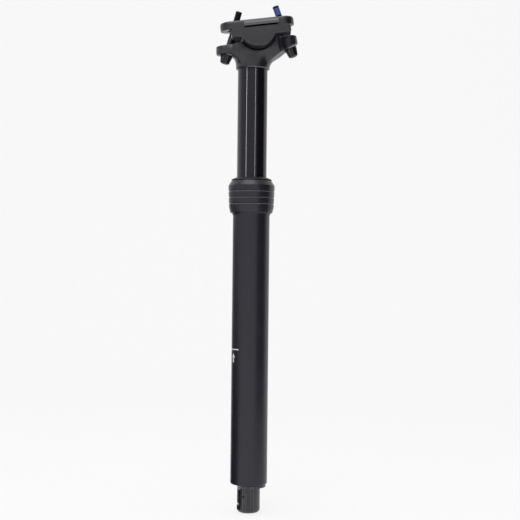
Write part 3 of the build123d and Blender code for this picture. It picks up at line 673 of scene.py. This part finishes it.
# Cartridge. The sealed gas spring inside the shaft: a polished tube, its hollow chromed rod and piston,
# with black rubber rings and plain alloy ends, all hidden while the post is whole.
finish_solids(bright_alloy("plain_alloy", tone(0.60, 0.61, 0.62), roughness=0.30), [
    "cartridge_cylinder", "cartridge_seal_head", "piston", "cartridge_cap", "floating_piston"])
finish_solids(bright_alloy("rod_chrome", tone(0.75, 0.76, 0.78), roughness=0.14), ["piston_rod"])
finish_solids(rubber("ring_rubber", tone(0.014, 0.014, 0.015), roughness=0.36), [
    "seal_head_ring", "rod_seal", "cap_ring", "floating_piston_ring", "plug_ring", "piston_seal"])
finish_solids(rubber("bumper_rubber", tone(0.020, 0.020, 0.021), roughness=0.50), [
    "bottom_bumper", "top_out_washer"])
finish_solids(bright_alloy("plain_steel", tone(0.48, 0.48, 0.49), roughness=0.26), [
    "cartridge_clip", "cartridge_nut", "rod_locknut", "release_pin"])
finish_solids(
    moulded("white_plastic", tone(0.62, 0.62, 0.60), tone(0.70, 0.70, 0.68), roughness=0.40),
    ["centring_ring"])


# Seat head. An aluminium forging bonded to the shaft, its skirt, belly and two arms running into each
# other in soft curves, then machined at the round trough, the arms' tops and the bolt pockets.
head_voxel = 0.42
head_fills = 130
head_rounds = 20
head_blasts = 5
head_blast_angle = 20
eased_part_way = 0.5
forging_reach = 0.5
pocket_reach = 0.5
rim_reach = 0.2
chamfer_reach = 0.02
clamp_centre = Vector((3.45, 0, 134.7))
clamp_tilt = math.radians(6.5)
trough_r = 13.2
arm_top = {-1: -6.3, 1: -3.9}
pocket_x = {-1: -24.4, 1: 23.1}
pocket_z = -12.7
pocket_r = 4.75
skirt_z = 108.6
socket_r = 11.02
rim_r = 12.62
rim_chamfer = 0.75
rim_top = 109.9


def in_clamp_frame(point):
    """A point as the clamp sees it, from the trough's axis and along its tilt, in millimetres."""
    offset = point / mm - clamp_centre
    along = offset.x * math.cos(clamp_tilt) + offset.z * math.sin(clamp_tilt)
    up = offset.z * math.cos(clamp_tilt) - offset.x * math.sin(clamp_tilt)
    return along, offset.y, up


def machined_head(point, reach):
    """Whether a point of the head lies on one of its machined faces."""
    along, side, up = in_clamp_frame(point)
    half = -1 if along < 0 else 1
    if abs(math.hypot(along, up) - trough_r) < reach:
        return True
    if abs(up - arm_top[half]) < reach:
        return True
    near = math.hypot(along - pocket_x[half], up - pocket_z)
    if near < pocket_r + reach and abs(side) < pocket_r + reach:
        return True
    return point.z / mm < skirt_z + reach or point.xy.length / mm < socket_r


def machined_bore(point):
    """Whether a point lies in the shaft's socket or in a screw's pocket, which stay as they were cut."""
    along, side, up = in_clamp_frame(point)
    half = -1 if along < 0 else 1
    in_pocket = math.hypot(along - pocket_x[half], up - pocket_z) < pocket_r + pocket_reach
    return in_pocket or (point.xy.length / mm < rim_r + rim_reach and point.z / mm < rim_top)


def eased(shape, corners, factor):
    """Moves corners towards the middle of their neighbours by a share of the way."""
    bmesh.ops.smooth_vert(
        shape, verts=corners, factor=factor, use_axis_x=True, use_axis_y=True, use_axis_z=True)


def evenly_meshed(shape, spacing):
    """The same shape in small, even faces."""
    start_mesh = bpy.data.meshes.new("uneven")
    shape.to_mesh(start_mesh)
    shape.free()
    block = bpy.data.objects.new("uneven", start_mesh)
    bpy.context.scene.collection.objects.link(block)
    remesh = block.modifiers.new("even", "REMESH")
    remesh.mode = "VOXEL"
    remesh.voxel_size = spacing * mm
    even_mesh = bpy.data.meshes.new_from_object(
        block.evaluated_get(bpy.context.evaluated_depsgraph_get()))
    bpy.data.objects.remove(block)
    even_shape = bmesh.new()
    even_shape.from_mesh(even_mesh)
    even_shape.faces.layers.float.new("worn")
    return even_shape


head_finish = anodised(
    "head_anodised", tone(0.012, 0.011, 0.016), tone(0.018, 0.017, 0.023), roughness=0.32, blast=0.14,
    blast_depth=0.008, gloss=1.62)
head_shape = evenly_meshed(from_solid("seat_head"), head_voxel)
forged = [corner for corner in head_shape.verts if not machined_head(corner.co, forging_reach)]
for turn in range(head_fills):
    before = [corner.co.copy() for corner in forged]
    outward = [corner.normal.copy() for corner in forged]
    eased(head_shape, forged, 1.0)
    for corner, was, out in zip(forged, before, outward):
        if (corner.co - was).dot(out) < 0:
            corner.co = was
    head_shape.normal_update()
for turn in range(head_rounds):
    eased(head_shape, forged, eased_part_way)
for turn in range(head_blasts):
    edges = [edge for edge in sharp_edges(head_shape, head_blast_angle)
             if not machined_bore(edge.verts[0].co)]
    eased(head_shape, list({corner for edge in edges for corner in edge.verts}), eased_part_way)
    head_shape.normal_update()
finished_piece(
    "seat_head_forging", head_shape, "upper_post", [head_finish], ["seat_head"], smooth=50,
    even=False)

rim_finish = bright_alloy("rim_chamfer", tone(0.17, 0.17, 0.18), roughness=0.28)
rim_shape = spun([
    (socket_r, skirt_z), (rim_r - rim_chamfer, skirt_z), (rim_r, skirt_z + rim_chamfer), (rim_r, rim_top),
    (socket_r, rim_top)])
for face in rim_shape.faces:
    middle = face.calc_center_median() / mm
    on_chamfer = rim_r - rim_chamfer < middle.xy.length < rim_r - chamfer_reach
    if on_chamfer and middle.z < skirt_z + rim_chamfer:
        face.material_index = 1
finished_piece(
    "seat_head_rim", rim_shape, "upper_post", [head_finish, rim_finish], [], smooth=30)


# Clamp. Two forged and machined aluminium halves hold the saddle's rails: a half round cradle that turns in
# the head's trough, and a cover with a wing for each screw. Their edges are rounded and blasted.
clamp_finish = anodised(
    "clamp_anodised", tone(0.006, 0.005, 0.008), tone(0.010, 0.009, 0.013), roughness=0.32, blast=0.14,
    blast_depth=0.008, gloss=1.6)
clamp_half_length = 27.5
clamp_end = 27.3
clamp_edge = 0.3
clamp_edge_steps = 3
clamp_round_steps = 4
clamp_round_angle = 50
cradle_end_round = 0.9
cradle_round_foot = -1.5
cover_walls = (-9.3, 15.5)
cover_inner = 21.0
cover_wall_reach = 0.05
cover_wall_round = 1.3
cover_end_round = 0.8
slit_middle = 1.5
slit_reach = 0.45
cradle_lip_lift = -0.5
cover_lip_lift = 0.3


def rounded_edges(shape, chosen, radius):
    """Rounds the sharp edges whose two ends, as the clamp sees them, are both chosen."""
    edges = [edge for edge in sharp_edges(shape, clamp_round_angle)
             if all(chosen(*in_clamp_frame(corner.co)) for corner in edge.verts)]
    bevelled(shape, edges, radius, clamp_round_steps, held=True)


def opened_slit(shape, lift):
    """Moves the lips beside the slit between the two halves, which the rails keep open."""
    upward = Vector((-math.sin(clamp_tilt), 0, math.cos(clamp_tilt)))
    for corner in shape.verts:
        along, side, up = in_clamp_frame(corner.co)
        if abs(up - slit_middle) < slit_reach and abs(side) > cover_inner:
            corner.co += upward * lift * mm


def at_clamp_end(along, side, up):
    """Whether a point lies on either end of the clamp."""
    return abs(side) > clamp_end


def at_cradle_end(along, side, up):
    """Whether a point lies high on an end of the cradle."""
    return at_clamp_end(along, side, up) and up > cradle_round_foot


def on_cover_wall(along, side, up):
    """Whether a point lies on the cover's front or rear wall, near either end."""
    off_wall = min(abs(along - wall) for wall in cover_walls)
    return abs(side) > cover_inner and off_wall < cover_wall_reach


cradle_shape = from_solid("lower_clamp")
opened_slit(cradle_shape, cradle_lip_lift)
rounded_edges(cradle_shape, at_cradle_end, cradle_end_round)
softened(cradle_shape, clamp_edge, clamp_edge_steps, square_angle)
for corner in cradle_shape.verts:
    corner.co.y = max(-clamp_half_length * mm, min(clamp_half_length * mm, corner.co.y))
finished_piece("rail_cradle", cradle_shape, "clamp", [clamp_finish], ["lower_clamp"])

cover_shape = from_solid("upper_clamp")
opened_slit(cover_shape, cover_lip_lift)
rounded_edges(cover_shape, on_cover_wall, cover_wall_round)
rounded_edges(cover_shape, at_clamp_end, cover_end_round)
softened(cover_shape, clamp_edge, clamp_edge_steps, square_angle)
finished_piece("rail_cover", cover_shape, "clamp", [clamp_finish], ["upper_clamp"])


# Screws. Two long steel screws, blacked, with fluted socket heads turned down and a rolled thread, that
# pull the clamp's wings towards the head's arms. The rear one has a blue locking patch.
screw_finish = Finish("blacked_steel", {"IOR": 1.6})
screw_cloud = screw_finish.speckle(1.2)
screw_oil = screw_finish.speckle(0.3, detail=4.0)
screw_finish.show(
    "Base Color", screw_finish.blend(screw_cloud, tone(0.005, 0.005, 0.006), tone(0.012, 0.012, 0.013)))
screw_finish.show("Roughness", 0.16 + screw_cloud * 0.12)
screw_finish.show("Normal", screw_finish.dents(screw_oil, 0.004))
finish_solids(screw_finish, ["front_bolt", "rear_bolt"])
finish_solids(
    moulded("patch_blue", tone(0.022, 0.075, 0.28), tone(0.035, 0.10, 0.34), roughness=0.42), ["bolt_patch"])
finish_solids(bright_alloy("washer_steel", tone(0.40, 0.40, 0.42), roughness=0.3), [
    "front_washer", "rear_washer"])
finish_solids(bright_alloy("nut_steel", tone(0.10, 0.10, 0.11), roughness=0.34, metallic=0.6), [
    "front_nut", "rear_nut"])


# Foot. A flanged alloy plug closes the tube and carries a round housing. In the housing's window sits the
# blacked lever that the gear wire pulls, with a bright barrel that grips the wire.
foot_edge = 0.18
lever_edge = 0.15
foot_finish = anodised(
    "foot_anodised", tone(0.005, 0.005, 0.007), tone(0.008, 0.008, 0.010), roughness=0.17, blast=0.10,
    blast_depth=0.003, gloss=1.6)
# Paler vertical stripes painted into the plug's and housing's colour: painted reflections of the room's
# lights on the glossy black metal.
reflection_stripe_noise = foot_finish.speckle(1.0, foot_finish.stretched((1.0, 1.0, 0.02)))
painted_reflection_stripes = foot_finish.between(0.48, 0.62, reflection_stripe_noise)
foot_finish.show("Base Color", foot_finish.blend(
    painted_reflection_stripes * 0.8, foot_finish.shown("Base Color"), tone(0.060, 0.058, 0.068)))
foot_pieces = {"base_plug": "tube_plug", "actuator_barrel": "actuator_housing"}
for node, name in foot_pieces.items():
    finished_piece(
        name, softened(from_solid(node), foot_edge), "lower_post", [foot_finish], [node])
lever_finish = anodised(
    "lever_black", tone(0.004, 0.004, 0.005), tone(0.007, 0.007, 0.008), roughness=0.40, blast=0.1,
    blast_depth=0.004)
finished_piece(
    "wire_lever", softened(from_solid("release_lever"), lever_edge), "lever", [lever_finish],
    ["release_lever"])
finish_solids(lever_finish, ["lever_pin"])
finish_solids(bright_alloy("bright_steel", tone(0.26, 0.26, 0.27), roughness=0.30), [
    "cable_barrel", "barrel_screw"])
